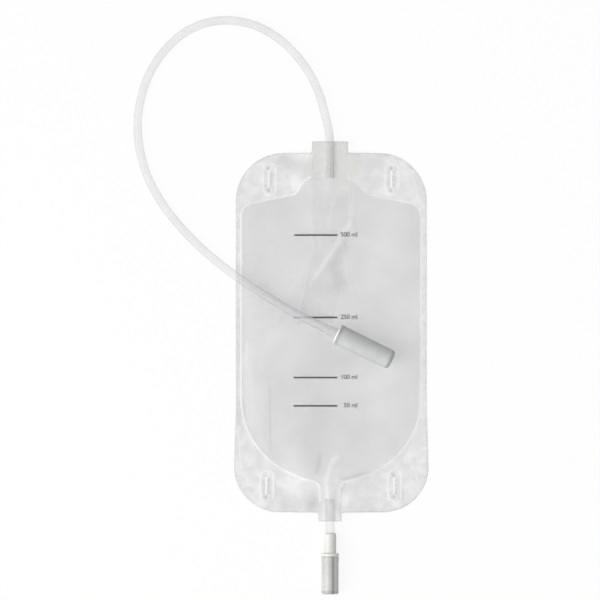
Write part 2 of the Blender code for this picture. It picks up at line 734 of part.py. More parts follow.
def build_outlet(clear_plastic, white_plastic, grey_plastic):
    """Outlet tube, spout with stop flange and nozzle, and the cap over the nozzle."""
    axis = axis_empty("outlet_axis", (0.0, NECK_FOOT, OUTLET_Z), Vector((0.0, -1.0, 0.0)))
    drain_end = DRAIN_OPEN + DRAIN_GRIP
    turned("outlet_tube", [
        (DRAIN_BORE_R, -DRAIN_INSERT), (DRAIN_BORE_R, drain_end),
        (DRAIN_R, drain_end), (DRAIN_R, -DRAIN_INSERT),
    ], TURN_STEPS, clear_plastic, axis)

    flange = SLEEVE_L
    tip = flange + FLANGE_T + NOZZLE_L
    collar_r = PLUG_R - PLUG_WALL - GAP
    collar_end = flange + FLANGE_T + COLLAR_L
    socket_r = DRAIN_R + GAP
    spout = [
        (socket_r, 0.0), (socket_r, DRAIN_GRIP + GAP), (DRAIN_BORE_R, DRAIN_GRIP + GAP),
        (DRAIN_BORE_R, tip), (NOZZLE_TIP_R - EDGE, tip), (NOZZLE_TIP_R, tip - EDGE),
        (collar_r - 2 * EDGE, collar_end + 3 * EDGE), (collar_r, collar_end),
        (collar_r, flange + FLANGE_T), (FLANGE_R - EDGE, flange + FLANGE_T),
        (FLANGE_R, flange + FLANGE_T - EDGE), (FLANGE_R, flange + EDGE),
        (FLANGE_R - EDGE, flange), (SLEEVE_R + EDGE, flange), (SLEEVE_R, flange - 2 * EDGE),
        (SLEEVE_R, SLEEVE_TAPER), (socket_r + EDGE, 0.0),
    ]
    turned("outlet_spout", spout, TURN_STEPS, white_plastic, axis, along=DRAIN_OPEN)

    mouth = DRAIN_OPEN + flange + FLANGE_T + GAP
    length = NOZZLE_L - GAP + PLUG_END_ROOM + PLUG_WALL
    inner = PLUG_R - PLUG_WALL
    rim_r = PLUG_R + PLUG_RIM_PROUD
    plug = [(0.0, length)] + round_edge(PLUG_R, length, PLUG_ROUND) + [
        (PLUG_R, PLUG_RIM_L + EDGE), (rim_r, PLUG_RIM_L), (rim_r, EDGE), (rim_r - EDGE, 0.0),
        (inner, 0.0), (inner, COLLAR_L),
        (inner - PLUG_DRAFT, length - PLUG_WALL), (0.0, length - PLUG_WALL),
    ]
    turned("outlet_cap", plug, CAP_TURN_STEPS, grey_plastic, axis, closed=False, along=mouth)


def main():
    clear_scene()
    group = bpy.data.collections.new("urine_drainage_bag")
    bpy.context.scene.collection.children.link(group)
    film = make_material("clear_film", (0.80, 0.81, 0.81), 0.35, 0.45)
    valve = make_material("valve_film", (0.86, 0.87, 0.88), 0.40, 0.5)
    tube = make_material("clear_tube", (0.84, 0.87, 0.86), 0.25, 0.6)
    milky = make_material("milky_plastic", (0.86, 0.86, 0.85), 0.35)
    grey = make_material("grey_cap_plastic", (0.60, 0.61, 0.61), 0.35)
    build_films(film)
    build_valve(valve)
    build_tube(tube)
    build_connector(milky, grey)
    build_outlet(tube, milky, grey)


main()
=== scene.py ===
from math import cos, hypot, pi, radians, sin, sqrt

import bmesh
import bpy
import numpy as np
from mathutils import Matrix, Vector, noise
from mathutils.bvhtree import BVHTree
from mathutils.geometry import delaunay_2d_cdt
from mathutils.kdtree import KDTree


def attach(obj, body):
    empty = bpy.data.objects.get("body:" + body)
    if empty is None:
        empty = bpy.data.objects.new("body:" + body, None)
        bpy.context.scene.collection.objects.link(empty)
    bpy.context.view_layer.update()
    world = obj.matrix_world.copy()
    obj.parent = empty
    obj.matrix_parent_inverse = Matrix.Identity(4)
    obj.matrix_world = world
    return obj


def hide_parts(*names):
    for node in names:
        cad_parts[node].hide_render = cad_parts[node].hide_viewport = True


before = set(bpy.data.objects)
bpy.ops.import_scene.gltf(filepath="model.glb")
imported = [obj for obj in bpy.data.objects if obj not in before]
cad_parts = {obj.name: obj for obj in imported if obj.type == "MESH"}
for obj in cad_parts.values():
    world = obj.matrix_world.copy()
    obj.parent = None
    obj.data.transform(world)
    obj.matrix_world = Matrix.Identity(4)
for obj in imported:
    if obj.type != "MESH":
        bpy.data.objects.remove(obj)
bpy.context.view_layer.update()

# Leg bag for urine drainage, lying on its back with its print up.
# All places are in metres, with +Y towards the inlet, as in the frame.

mm = 0.001
gap = 0.3 * mm      # between the two films

photo = {
    "side": 600,            # pixels of the photograph, each way
    "scale": 0.70 * mm,     # one pixel on the floor
    "axisColumn": 330.0,    # the column of the bag's middle
    "originRow": 367.6,     # the row of the frame's origin
}


def fromPhoto(column, row):
    x = (column - photo["axisColumn"]) * photo["scale"]
    return x, (photo["originRow"] - row) * photo["scale"]


def inMetres(sizes):
    return {name: value * mm for name, value in sizes.items()}


def linkObject(name, data):
    made = bpy.data.objects.new(name, data)
    bpy.context.scene.collection.objects.link(made)
    return made


# camera

cameraSet = {"lens": 400.0, "sensor": 36.0}


def makeCamera():
    data = bpy.data.cameras.new("photoCamera")
    data.lens = cameraSet["lens"]
    data.sensor_width = cameraSet["sensor"]
    data.clip_end = 20.0
    seen = linkObject("photoCamera", data)
    middle = fromPhoto(photo["side"] / 2, photo["side"] / 2)
    height = photo["side"] * photo["scale"] * data.lens / data.sensor_width
    seen.location = (*middle, height)
    bpy.context.scene.camera = seen


makeCamera()


# materials: small helpers for node trees

def newMaterial(name):
    made = bpy.data.materials.new(name)
    made.use_nodes = True
    return made, made.node_tree, made.node_tree.nodes["Principled BSDF"]


def addNode(tree, kind, settings=None, **inputs):
    node = tree.nodes.new(kind)
    for key, value in (settings or {}).items():
        setattr(node, key, value)
    for key, value in inputs.items():
        setInput(tree, node.inputs[key.replace("_", " ")], value)
    return node


def setInput(tree, socket, value):
    if isinstance(value, bpy.types.NodeSocket):
        tree.links.new(value, socket)
    else:
        socket.default_value = value


def objectPlace(tree):
    return addNode(tree, "ShaderNodeTexCoord").outputs["Object"]


def alongAxis(tree, start, direction):
    # distance along a straight line, from its start
    shifted = addNode(tree, "ShaderNodeVectorMath", {"operation": "SUBTRACT"})
    setInput(tree, shifted.inputs[0], objectPlace(tree))
    shifted.inputs[1].default_value = start
    along = addNode(tree, "ShaderNodeVectorMath", {"operation": "DOT_PRODUCT"})
    setInput(tree, along.inputs[0], shifted.outputs[0])
    along.inputs[1].default_value = direction
    return along.outputs["Value"]


def flatness(tree):
    # 1 where the surface faces up or down, 0 where it stands upright
    normal = addNode(tree, "ShaderNodeTexCoord").outputs["Normal"]
    upward = addNode(tree, "ShaderNodeSeparateXYZ", Vector=normal).outputs["Z"]
    node = addNode(tree, "ShaderNodeMath", {"operation": "ABSOLUTE"})
    setInput(tree, node.inputs[0], upward)
    return node.outputs[0]


def grain(tree, place, scale, detail=3.0, roughness=0.55):
    node = addNode(tree, "ShaderNodeTexNoise", Vector=place, Scale=scale, Detail=detail, Roughness=roughness)
    return node.outputs["Fac"]


def ranged(tree, value, low, high, toLow, toHigh):
    node = addNode(tree, "ShaderNodeMapRange", {"interpolation_type": "SMOOTHSTEP"}, Value=value)
    node.inputs["From Min"].default_value = low
    node.inputs["From Max"].default_value = high
    node.inputs["To Min"].default_value = toLow
    node.inputs["To Max"].default_value = toHigh
    return node.outputs["Result"]


def sums(tree, operation, a, b):
    node = addNode(tree, "ShaderNodeMath", {"operation": operation})
    setInput(tree, node.inputs[0], a)
    setInput(tree, node.inputs[1], b)
    return node.outputs[0]


def between(tree, share, a, b):
    node = addNode(tree, "ShaderNodeMix", {"data_type": "FLOAT"})
    setInput(tree, node.inputs[0], share)
    setInput(tree, node.inputs[2], a)
    setInput(tree, node.inputs[3], b)
    return node.outputs[0]


def tint(tree, share, a, b):
    node = addNode(tree, "ShaderNodeMix", {"data_type": "RGBA"})
    setInput(tree, node.inputs[0], share)
    setInput(tree, node.inputs[6], a if isinstance(a, bpy.types.NodeSocket) else (*a, 1.0))
    setInput(tree, node.inputs[7], b if isinstance(b, bpy.types.NodeSocket) else (*b, 1.0))
    return node.outputs[2]


def painted(tree, name):
    return addNode(tree, "ShaderNodeAttribute", {"attribute_name": name}).outputs["Fac"]


def bumped(tree, shader, height, strength, distance):
    node = addNode(tree, "ShaderNodeBump", Height=height, Strength=strength, Distance=distance)
    tree.links.new(node.outputs["Normal"], shader.inputs["Normal"])


# the inlet tube, a free cord from the tab to its connector

tube = {
    "radius": 3.0 * mm,
    "length": 0.487,            # declared, from about 695 pixels; the route as drawn measures 0.467
    "tabTop": (0.0, 0.1583, 0.00415),
    "insert": 25.6 * mm,
    "connector": (0.0048, 0.0237, 0.0121),
    "connectorTurn": -25.8,
    "socket": 7.0 * mm,
    "steps": 6,
    # side is a painted shade for the tube's upright sides, top a painted light for its top
    "look": {"side": (0.34, 0.36, 0.35), "top": (0.60, 0.625, 0.615), "sideAlpha": 0.25, "topAlpha": 0.215,
             "sideTo": 0.0, "topFrom": 0.95, "milky": (0.66, 0.66, 0.69), "milkyAlpha": 0.38,
             "milkyStart": -75 * mm, "milkyFull": -48 * mm,
             "cloud": (0.9, 0.92, 0.91), "cloudShare": 0.35, "bump": 0.12, "bumpHigh": 0.4 * mm},
    "route": [
        (-0.0018, 0.1705, 0.0036), (-0.0092, 0.1957, 0.0031), (-0.0207, 0.2150, 0.0031),
        (-0.0366, 0.2307, 0.0031), (-0.0566, 0.2407, 0.0031), (-0.0790, 0.2426, 0.0031),
        (-0.1001, 0.2354, 0.0031), (-0.1168, 0.2205, 0.0031), (-0.1282, 0.2013, 0.0031),
        (-0.1339, 0.1796, 0.0031), (-0.1338, 0.1572, 0.0031), (-0.1283, 0.1355, 0.0031),
        (-0.1179, 0.1156, 0.0031), (-0.1041, 0.0979, 0.0032), (-0.0883, 0.0820, 0.0037),
        (-0.0709, 0.0678, 0.0049), (-0.0518, 0.0545, 0.0068), (-0.0328, 0.0428, 0.0084),
        (-0.0180, 0.0348, 0.0100), (-0.0060, 0.0289, 0.0115),
    ],
}


def smoothRoute(points, steps):
    places = [Vector(p) for p in points]
    places = [2 * places[0] - places[1]] + places + [2 * places[-1] - places[-2]]
    path = []
    for a, b, c, d in zip(places, places[1:], places[2:], places[3:]):
        for k in range(steps):
            t = k / steps
            path.append(0.5 * ((2 * b) + (c - a) * t + (2 * a - 5 * b + 4 * c - d) * t ** 2
                               + (3 * b - a - 3 * c + d) * t ** 3))
    return path + [places[-2]]


def tubingMaterial(name, look, milkyFrom=None):
    # painted shade and light: darker and a little more opaque on its upright sides, lighter and clearer on
    # top
    made, tree, shader = newMaterial(name)
    place = objectPlace(tree)
    cloud = ranged(tree, grain(tree, place, 60.0, 3.0), 0.35, 0.65, 0.0, 1.0)
    # painted shade on the upright sides and painted light on top, by how the surface faces
    paintedTopLight = ranged(tree, flatness(tree), look["sideTo"], look["topFrom"], 0.0, 1.0)
    darker = tint(tree, paintedTopLight, look["side"], look["top"])
    colour = tint(tree, sums(tree, "MULTIPLY", cloud, look["cloudShare"]), darker, look["cloud"])
    alpha = between(tree, paintedTopLight, look["sideAlpha"], look["topAlpha"])
    if milkyFrom:
        milky = ranged(tree, milkyFrom(tree), look["milkyStart"], look["milkyFull"], 0.0, 1.0)
        colour = tint(tree, milky, colour, look["milky"])
        alpha = between(tree, milky, alpha, look["milkyAlpha"])
    tree.links.new(colour, shader.inputs["Base Color"])
    tree.links.new(alpha, shader.inputs["Alpha"])
    tree.links.new(ranged(tree, grain(tree, place, 240.0), 0.3, 0.7, 0.16, 0.30), shader.inputs["Roughness"])
    shader.inputs["IOR"].default_value = 1.5
    bumped(tree, shader, grain(tree, place, 180.0, 2.0), look["bump"], look["bumpHigh"])
    return made


def fromFlange(tree):
    turn = radians(tube["connectorTurn"])
    return alongAxis(tree, tube["connector"], (cos(turn), sin(turn), 0.0))


def makeTube():
    top = Vector(tube["tabTop"])
    end = Vector(tube["connector"])
    turn = radians(tube["connectorTurn"])
    along = Vector((cos(turn), sin(turn), 0.0))
    inner = top - Vector((0.0, tube["insert"], 0.0))
    route = [top] + tube["route"] + [end - along * tube["socket"] / 2, end]
    path = [inner, (inner + top) / 2] + smoothRoute(route, tube["steps"])
    curve = bpy.data.curves.new("inletTube", "CURVE")
    curve.dimensions = "3D"
    curve.bevel_depth = tube["radius"]
    curve.bevel_resolution = 8
    curve.use_fill_caps = True
    line = curve.splines.new("POLY")
    line.points.add(len(path) - 1)
    for point, spot in zip(line.points, path):
        point.co = (*spot, 1.0)
    line.use_smooth = True
    made = linkObject("inletTube", curve)
    curve.materials.append(tubingMaterial("clear soft tubing", tube["look"], fromFlange))
    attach(made, "bag")
    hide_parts("inlet_tube")


makeTube()
print("tube laid")


# the bag's films, close to the frame's sizes

film = inMetres({
    "thick": 0.3, "halfWidth": 66.8, "footFlare": 2.4, "flareStart": -30.0,
    "top": 150.2, "foot": -101.3, "topCorner": 33.5, "footCorner": 32.0,
    "aside": 0.9,           # how far the sheets lie to the right of the two tubes,
    "asideFrom": 14.0, "asideFade": 16.0,   # from this distance off the middle, over this width
    "tabHalf": 12.6, "tabHigh": 8.1, "neckHalf": 8.1, "neckHigh": 6.1,
    "root": 1.8, "tip": 0.7,
    "pitch": 1.6,           # of the net
    "linePitch": 1.3,       # along the outline and the welds
    "rimPitch": 0.7,        # along the slots' rims
})
weld = inMetres({
    "margin": 3.8, "half": 1.15, "high": 0.35, "tabDepth": 25.0,
    "lipFrom": 13.4, "lipX": 18.6, "lipDrop": 3.0, "lipRadius": 5.0,
    "shoulderX": 24.2, "shoulderDrop": 11.6, "shoulderFall": 8.0,
    "shoulderRadius": 9.0, "cornerRadius": 9.5,
    "bowlTop": -22.2, "bowlDepth": 58.0, "throatRadius": 6.0, "throatLength": 14.0,
})
slot = inMetres({
    "inset": 23.9, "topDrop": 18.2, "footRise": 18.6, "shift": -1.0, "slitHalf": 0.45,
    "eyePitch": 15.4, "eye": 2.5, "rimHalf": 4.5, "rimHigh": 22.8,
    # the band's offset, bandHalf and pupil place painted shade in the slots
    "beadHalf": 0.9, "beadHigh": 0.28, "eyeBeadHalf": 0.75, "band": 1.7, "bandHalf": 0.9, "pupil": 1.6,
})
port = inMetres({
    "inlet": 3.0, "inletZ": 4.15, "inletEnd": 132.7, "inletRamp": 46.0, "inletFillet": 5.0,
    "outlet": 3.43, "outletZ": 6.4, "outletTop": -91.9, "outletRamp": 46.0, "outletFillet": 2.8,
    "fade": 18.0, "lead": 2.0, "valveFade": 12.0, "valveRoom": 0.5,
    "puff": 3.5, "puffReach": 12.0,
})
tabTop = film["top"] + film["tabHigh"]
neckFoot = film["foot"] - film["neckHigh"]
weldMiddle = film["thick"] + gap / 2


def roundCorners(corners, step=radians(6)):
    path = []
    for i, (x, y, radius) in enumerate(corners):
        here = Vector((x, y))
        if radius <= 0 or i in (0, len(corners) - 1):
            path.append((x, y))
            continue
        back = (Vector(corners[i - 1][:2]) - here).normalized()
        ahead = (Vector(corners[i + 1][:2]) - here).normalized()
        half = back.angle(ahead) / 2
        centre = here + (back + ahead).normalized() * radius / sin(half)
        sweep = pi - 2 * half
        first = here + back * radius / (sin(half) / cos(half)) - centre
        side = 1 if back.cross(ahead) < 0 else -1
        count = max(2, round(sweep / step))
        for k in range(count + 1):
            a = side * sweep * k / count
            path.append((centre.x + first.x * cos(a) - first.y * sin(a),
                         centre.y + first.x * sin(a) + first.y * cos(a)))
    return path


def splitLong(path, most, closed=False):
    ends = path[1:] + path[:1] if closed else path[1:]
    dense = []
    for (x0, y0), (x1, y1) in zip(path, ends):
        count = max(1, round(hypot(x1 - x0, y1 - y0) / most))
        dense += [(x0 + (x1 - x0) * k / count, y0 + (y1 - y0) * k / count) for k in range(count)]
    return dense if closed else dense + path[-1:]


def bothSides(right):
    return right + [(-x, y) for x, y in reversed(right)]


def beside(path, distance, closed):
    moved = []
    count = len(path)
    for i, (x, y) in enumerate(path):
        before = path[i - 1] if i or closed else path[0]
        after = path[(i + 1) % count] if i < count - 1 or closed else path[-1]
        along = (Vector(after) - Vector(before)).normalized()
        moved.append((x - along.y * distance, y + along.x * distance))
    return moved


def bagOutline():
    right = roundCorners([
        (0.0, tabTop, 0.0),
        (film["tabHalf"], tabTop, film["tip"]),
        (film["tabHalf"], film["top"], film["root"]),
        (film["halfWidth"], film["top"], film["topCorner"]),
        (film["halfWidth"], film["flareStart"], 0.0),
        (film["halfWidth"] + film["footFlare"], film["foot"], film["footCorner"]),
        (film["neckHalf"], film["foot"], film["root"]),
        (film["neckHalf"], neckFoot, film["tip"]),
        (0.0, neckFoot, 0.0),
    ])
    return splitLong(bothSides(right[1:-1]), film["linePitch"], closed=True)


def chamberSide():
    halfX = film["halfWidth"] - weld["margin"]
    top = tabTop - weld["tabDepth"]
    turnY = top - weld["shoulderDrop"]
    bowlFoot = weld["bowlTop"] - weld["bowlDepth"]
    throatX = film["neckHalf"] - weld["half"]
    bowl = []
    steps = 40
    for k in range(1, steps):
        x = halfX * cos(pi / 2 * k / steps)
        if x > film["neckHalf"] + weld["throatRadius"] + film["root"]:
            bowl.append((x, weld["bowlTop"] - weld["bowlDepth"] * sqrt(1 - (x / halfX) ** 2), 0.0))
    right = roundCorners([
        (weld["lipFrom"], top, 0.0),
        (weld["lipX"], top - weld["lipDrop"], weld["lipRadius"]),
        (weld["shoulderX"], turnY, weld["shoulderRadius"]),
        (halfX, turnY - weld["shoulderFall"], weld["cornerRadius"]),
        (halfX, weld["bowlTop"], 0.0),
        *bowl,
        (throatX, bowlFoot, weld["throatRadius"]),
        (throatX, bowlFoot - weld["throatLength"], 0.0),
    ])
    return splitLong(right, film["linePitch"])


def oval(x, y, half, high, count=10):
    ring = []
    for middle, start in ((y + high / 2 - half, 0), (y - high / 2 + half, pi)):
        ring += [(x + half * cos(start + pi * k / count), middle + half * sin(start + pi * k / count))
                 for k in range(count + 1)]
    return splitLong(ring, film["rimPitch"], closed=True)


def circle(x, y, radius, count=20):
    turns = [2 * pi * k / count for k in range(count)]
    return [(x + radius * cos(turn), y + radius * sin(turn)) for turn in turns]


def slotPlaces():
    for y in (film["top"] - slot["topDrop"], film["foot"] + slot["footRise"]):
        lean = max(0.0, (film["flareStart"] - y) / (film["flareStart"] - film["foot"]))
        x = film["halfWidth"] + film["footFlare"] * lean - slot["inset"]
        for side in (-1, 1):
            yield side * x, y


def ease(t):
    t = np.clip(t, 0.0, 1.0)
    return np.where(t < 0.5, 2 * t * t, 1 - 2 * (1 - t) ** 2)


def distanceTo(x, y, path, closed=True):
    a = np.array(path)
    b = np.roll(a, -1, axis=0) if closed else a[1:]
    a = a if closed else a[:-1]
    best = np.full(np.shape(x), np.inf)
    for (ax, ay), (bx, by) in zip(a, b):
        dx, dy = bx - ax, by - ay
        t = np.clip(((x - ax) * dx + (y - ay) * dy) / (dx * dx + dy * dy), 0, 1)
        best = np.minimum(best, np.hypot(x - ax - t * dx, y - ay - t * dy))
    return best


def insideOf(x, y, loop):
    odd = np.zeros(np.shape(x), bool)
    for (ax, ay), (bx, by) in zip(loop, loop[1:] + loop[:1]):
        if ay != by:
            odd ^= ((ay > y) != (by > y)) & (x < ax + (y - ay) * (bx - ax) / (by - ay))
    return odd


def tunnel(x, radius, fillet, base):
    # how far a film wrapped over a tube stands above its flat height
    reach = sqrt((radius + fillet) ** 2 - (base + fillet) ** 2)
    touch = radius * reach / (radius + fillet)
    ax = np.abs(x)
    arch = np.sqrt(np.maximum(radius ** 2 - np.minimum(ax, touch) ** 2, 0))
    foot = base + fillet - np.sqrt(fillet ** 2 - np.clip(reach - ax, 0, fillet) ** 2)
    return np.where(ax < touch, arch, foot) - base


def middleHeight(x, y):
    inner = film["tabHalf"]
    outer = film["halfWidth"] - slot["inset"] - slot["rimHalf"] - 3 * slot["beadHalf"]
    across = 1 - ease((np.abs(x) - inner) / (outer - inner))
    up = ease((y - port["inletEnd"] + port["lead"] + port["inletRamp"]) / port["inletRamp"])
    down = ease((port["outletTop"] + port["lead"] + port["outletRamp"] - y) / port["outletRamp"])
    rise = (port["inletZ"] - weldMiddle) * up + (port["outletZ"] - weldMiddle) * down
    return weldMiddle + across * rise


def inTab(x, y):
    across = 1 - ease((np.abs(x) - film["tabHalf"] - gap) / (film["tabHalf"] / 3))
    return across * ease((y - port["inletEnd"] + port["lead"] + port["valveFade"]) / port["valveFade"])


def tents(x, y):
    room = port["valveRoom"]
    overInlet = tunnel(x, port["inlet"] + gap + room, port["inletFillet"], gap / 2 + room)
    overOutlet = tunnel(x, port["outlet"] + gap, port["outletFillet"], gap / 2)
    fadeIn = ease((y - port["inletEnd"] + port["lead"] + port["fade"]) / port["fade"])
    fadeOut = ease((port["outletTop"] + port["lead"] + port["fade"] - y) / port["fade"])
    return overInlet * fadeIn + overOutlet * fadeOut


def bead(distance, half):
    return np.clip(1 - (distance / half) ** 2, 0, 1)


# folds of the front film, as lines through the photograph's pixels (column, row)

# folds also get a painted highlight, as light as the weld for a fold this high
fullFold = 0.9 * mm     # a fold this high is drawn as light as the weld
folds = [
    {"through": [(354.5, 179), (353, 205), (351, 228)], "half": 1.1 * mm, "high": 0.55 * mm},
    {"through": [(335.6, 194), (331, 212), (328.6, 228)], "half": 0.9 * mm, "high": 0.35 * mm},
    {"through": [(313.9, 221), (313.2, 249)], "half": 0.8 * mm, "high": 0.30 * mm},
    {"through": [(351, 222), (334, 250), (314.6, 278.4)], "half": 1.8 * mm, "high": 0.75 * mm},
    {"through": [(309, 260), (286.6, 305), (272.6, 326)], "half": 1.0 * mm, "high": 0.35 * mm},
    {"through": [(341, 239), (348, 268), (353.8, 295)], "half": 1.0 * mm, "high": 0.35 * mm},
    {"through": [(325.5, 492), (327, 478), (332, 464), (338, 457)], "half": 2.2 * mm, "high": 0.9 * mm},
    {"through": [(338.5, 494), (336, 480), (341, 468)], "half": 1.6 * mm, "high": 0.7 * mm},
    {"through": [(300, 476), (278, 462), (262, 440)], "half": 2.4 * mm, "high": 0.25 * mm},
]

# painted light on the films: lighter streaks are painted highlights and, below 0, darker ones are painted
# shade, given in the same way
paintedLightStreaks = [
    {"through": [(401.5, 164.8), (411.9, 171.8)], "half": 1.2 * mm, "light": 0.9},
    {"through": [(413.3, 177.4), (415.4, 188.5), (419.6, 199.6)], "half": 0.9 * mm, "light": 0.8},
    {"through": [(301, 155), (312, 158)], "half": 1.0 * mm, "light": 0.8},
    {"through": [(359.7, 166.2), (365.3, 178.7)], "half": 1.0 * mm, "light": 0.7},
    {"through": [(247, 491), (261, 506.6)], "half": 1.5 * mm, "light": 0.8},
    {"through": [(240, 454), (243, 473)], "half": 1.0 * mm, "light": 0.7},
    {"through": [(411, 459), (421, 494)], "half": 1.1 * mm, "light": 0.7},
    {"through": [(344, 498), (347, 506)], "half": 1.0 * mm, "light": 0.8},
    {"through": [(420, 375), (420, 415)], "half": 1.0 * mm, "light": 0.6},
    {"through": [(246, 332), (250, 372), (255, 418)], "half": 3.5 * mm, "light": 0.28},
    {"through": [(329, 494), (331, 474), (337, 455)], "half": 2.6 * mm, "light": 0.55},
    {"through": [(351, 219.6), (314.6, 278.4)], "half": 1.6 * mm, "light": 0.5},
    {"through": [(325, 352), (322, 388), (326, 426)], "half": 26 * mm, "light": -0.20},
    {"through": [(320.7, 453.7), (316.5, 473)], "half": 0.9 * mm, "light": -0.55},
    {"through": [(344, 479), (365, 473)], "half": 1.1 * mm, "light": -0.55},
    {"through": [(270, 386), (270, 450)], "half": 0.8 * mm, "light": -0.35},
    {"through": [(341, 246), (333, 268), (340, 284)], "half": 5.0 * mm, "light": -0.40},
    {"through": [(326.3, 143), (326.3, 168)], "half": 0.5 * mm, "light": 0.7},
    {"through": [(331, 148), (331.5, 178)], "half": 2.4 * mm, "light": -0.05},
    {"through": [(354.5, 179), (353, 205), (351, 228)], "half": 1.0 * mm, "light": 0.55},
    {"through": [(335.6, 194), (331, 212), (328.6, 228)], "half": 0.8 * mm, "light": 0.45},
    {"through": [(262, 222), (262, 290)], "half": 22 * mm, "light": -0.16},
    {"through": [(239, 300), (239, 420)], "half": 3 * mm, "light": -0.28},
    {"through": [(318, 148), (320, 172)], "half": 1.3 * mm, "light": 0.25},
    {"through": [(343, 172), (343.5, 189)], "half": 1.0 * mm, "light": 0.25},
    {"through": [(332, 459), (327, 478), (326.5, 497)], "half": 1.3 * mm, "light": 0.95},
    {"through": [(334, 470), (337, 484), (338, 496)], "half": 1.0 * mm, "light": 0.85},
    {"through": [(323.5, 499), (323.5, 520)], "half": 0.6 * mm, "light": 0.6},
    {"through": [(335.5, 499), (335.5, 520)], "half": 0.6 * mm, "light": 0.5},
    {"through": [(320, 455), (317.5, 470)], "half": 2.5 * mm, "light": -0.3},
    {"through": [(325, 497), (338.5, 497)], "half": 0.6 * mm, "light": 0.5},
    {"through": [(344.5, 483), (340.5, 492), (339.5, 516)], "half": 0.7 * mm, "light": -0.55},
    {"through": [(290, 506), (310, 504)], "half": 9 * mm, "light": -0.50},
    {"through": [(366, 160), (376, 160)], "half": 6 * mm, "light": -0.15},
    {"through": [(288, 160), (303, 168)], "half": 8 * mm, "light": -0.40},
    {"through": [(418, 158), (405, 152)], "half": 2.5 * mm, "light": -0.3},
]

# welded patches round the inlet tube, by two corners in the photograph's pixels
tabPatches = [((311, 139), (349, 176.5)), ((346, 152), (359.5, 176)), ((335.5, 175), (351.5, 192))]


def patchShare(x, y):
    soft = 0.8 * mm     # the width of a patch's soft border
    share = np.zeros(np.shape(x))
    for first, last in tabPatches:
        left, top = fromPhoto(*first)
        right, foot = fromPhoto(*last)
        inward = np.minimum(np.minimum(x - left, right - x), np.minimum(top - y, y - foot))
        share = np.maximum(share, ease(inward / soft + 0.5))
    return share


def paintedLightShares(x, y):
    light = np.zeros(np.shape(x))
    dark = np.zeros(np.shape(x))
    for streak in paintedLightStreaks:
        path = [fromPhoto(*spot) for spot in streak["through"]]
        near = np.exp(-(distanceTo(x, y, path, False) / streak["half"]) ** 2)
        light = np.maximum(light, near * max(streak["light"], 0))
        dark = np.maximum(dark, near * max(-streak["light"], 0))
    return light, dark


def foldRise(x, y):
    rise = np.zeros(np.shape(x))
    share = np.zeros(np.shape(x))
    for fold in folds:
        path = [fromPhoto(*spot) for spot in fold["through"]]
        near = np.exp(-(distanceTo(x, y, path, False) / fold["half"]) ** 2)
        rise += fold["high"] * near
        # the share of the fold's painted highlight
        share = np.maximum(share, near * fold["high"] / fullFold)
    return rise, np.clip(share, 0, 1)


def ripple(x, y, wave, seed):
    # smooth unevenness from 0 to 1
    swing = 0.9
    values = [noise.noise(Vector((px / wave, py / wave, seed))) for px, py in zip(x, y)]
    return np.clip(0.5 + swing * np.array(values), 0, 1)


def makeNet(outline, holes, lines, pitch):
    # a flat net of triangles that follows every line given and is even in between
    clearance = 0.6 * pitch     # kept free of grid points beside a line
    fineness = 1e-4             # in millimetres, as the points below
    places, edges = [], []
    for path, closed in [(outline, True)] + [(h, True) for h in holes] + lines:
        first = len(places)
        places += path
        edges += [(first + k, first + k + 1) for k in range(len(path) - 1)]
        if closed:
            edges.append((len(places) - 1, first))
    near = KDTree(len(places))
    for k, (x, y) in enumerate(places):
        near.insert((x, y, 0.0), k)
    near.balance()
    corners = np.array(outline)
    rows = np.arange(corners[:, 1].min(), corners[:, 1].max(), pitch * sqrt(0.75))
    columns = np.arange(corners[:, 0].min(), corners[:, 0].max(), pitch)
    gridX = (columns[None, :] + pitch / 2 * (np.arange(len(rows)) % 2)[:, None]).ravel()
    gridY = np.repeat(rows, len(columns))
    keep = insideOf(gridX, gridY, outline)
    for hole in holes:
        keep &= ~insideOf(gridX, gridY, hole)
    for x, y in zip(gridX[keep], gridY[keep]):
        if near.find((x, y, 0.0))[2] > clearance:
            places.append((x, y))
    net = delaunay_2d_cdt([Vector(p) / mm for p in places], edges, [], 1, fineness)
    flat = np.array([(v.x * mm, v.y * mm) for v in net[0]])
    faces = np.array([f for f in net[2] if len(f) == 3])
    centres = flat[faces].mean(axis=1)
    keep = insideOf(centres[:, 0], centres[:, 1], outline)
    for hole in holes:
        keep &= ~insideOf(centres[:, 0], centres[:, 1], hole)
    faces = faces[keep]
    used, faces = np.unique(faces, return_inverse=True)
    return flat[used], faces.reshape(-1, 3)


def makeSheet(name, net, heights, thickness, upward, shares, material, nodeName):
    flat, faces = net
    mesh = bpy.data.meshes.new(name)
    mesh.from_pydata(np.column_stack([flat, heights]).tolist(), [], faces.tolist())
    shape = bmesh.new()
    shape.from_mesh(mesh)
    for face in shape.faces:
        face.normal_update()
        if face.normal.z < 0:
            face.normal_flip()
    shape.to_mesh(mesh)
    shape.free()
    for key, values in shares.items():
        painting = mesh.attributes.new(key, "FLOAT", "POINT")
        painting.data.foreach_set("value", np.asarray(values, np.float32))
    mesh.shade_smooth()
    mesh.materials.append(material)
    made = linkObject(name, mesh)
    solid = made.modifiers.new("thickness", "SOLIDIFY")
    solid.thickness = thickness
    solid.offset = 1.0 if upward else -1.0
    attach(made, "bag")
    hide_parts(nodeName)


filmLook = {
    "chamber": (0.46, 0.61),        # how light, darker and lighter patches
    "flange": (0.64, 0.84),
    # the welds' near white, also used for the painted highlights of folds and light streaks
    "weld": 0.98,
    "shade": 0.26,
    "tab": (0.72, 0.72, 0.675),
    "chamberAlpha": 0.155,          # of each of a film's two faces
    "flangeAlpha": 0.17,
    "weldAlpha": 0.27,
    "shadeAlpha": 0.22,
    "tabAlpha": 0.20,
    "rib": 700.0, "ribHigh": 0.12,  # how close the tab's upright ribs stand, and how high
    "chamberCrinkle": 0.35,         # where the flange has 1
    "bump": 0.38, "bumpHigh": 1.2 * mm,
}


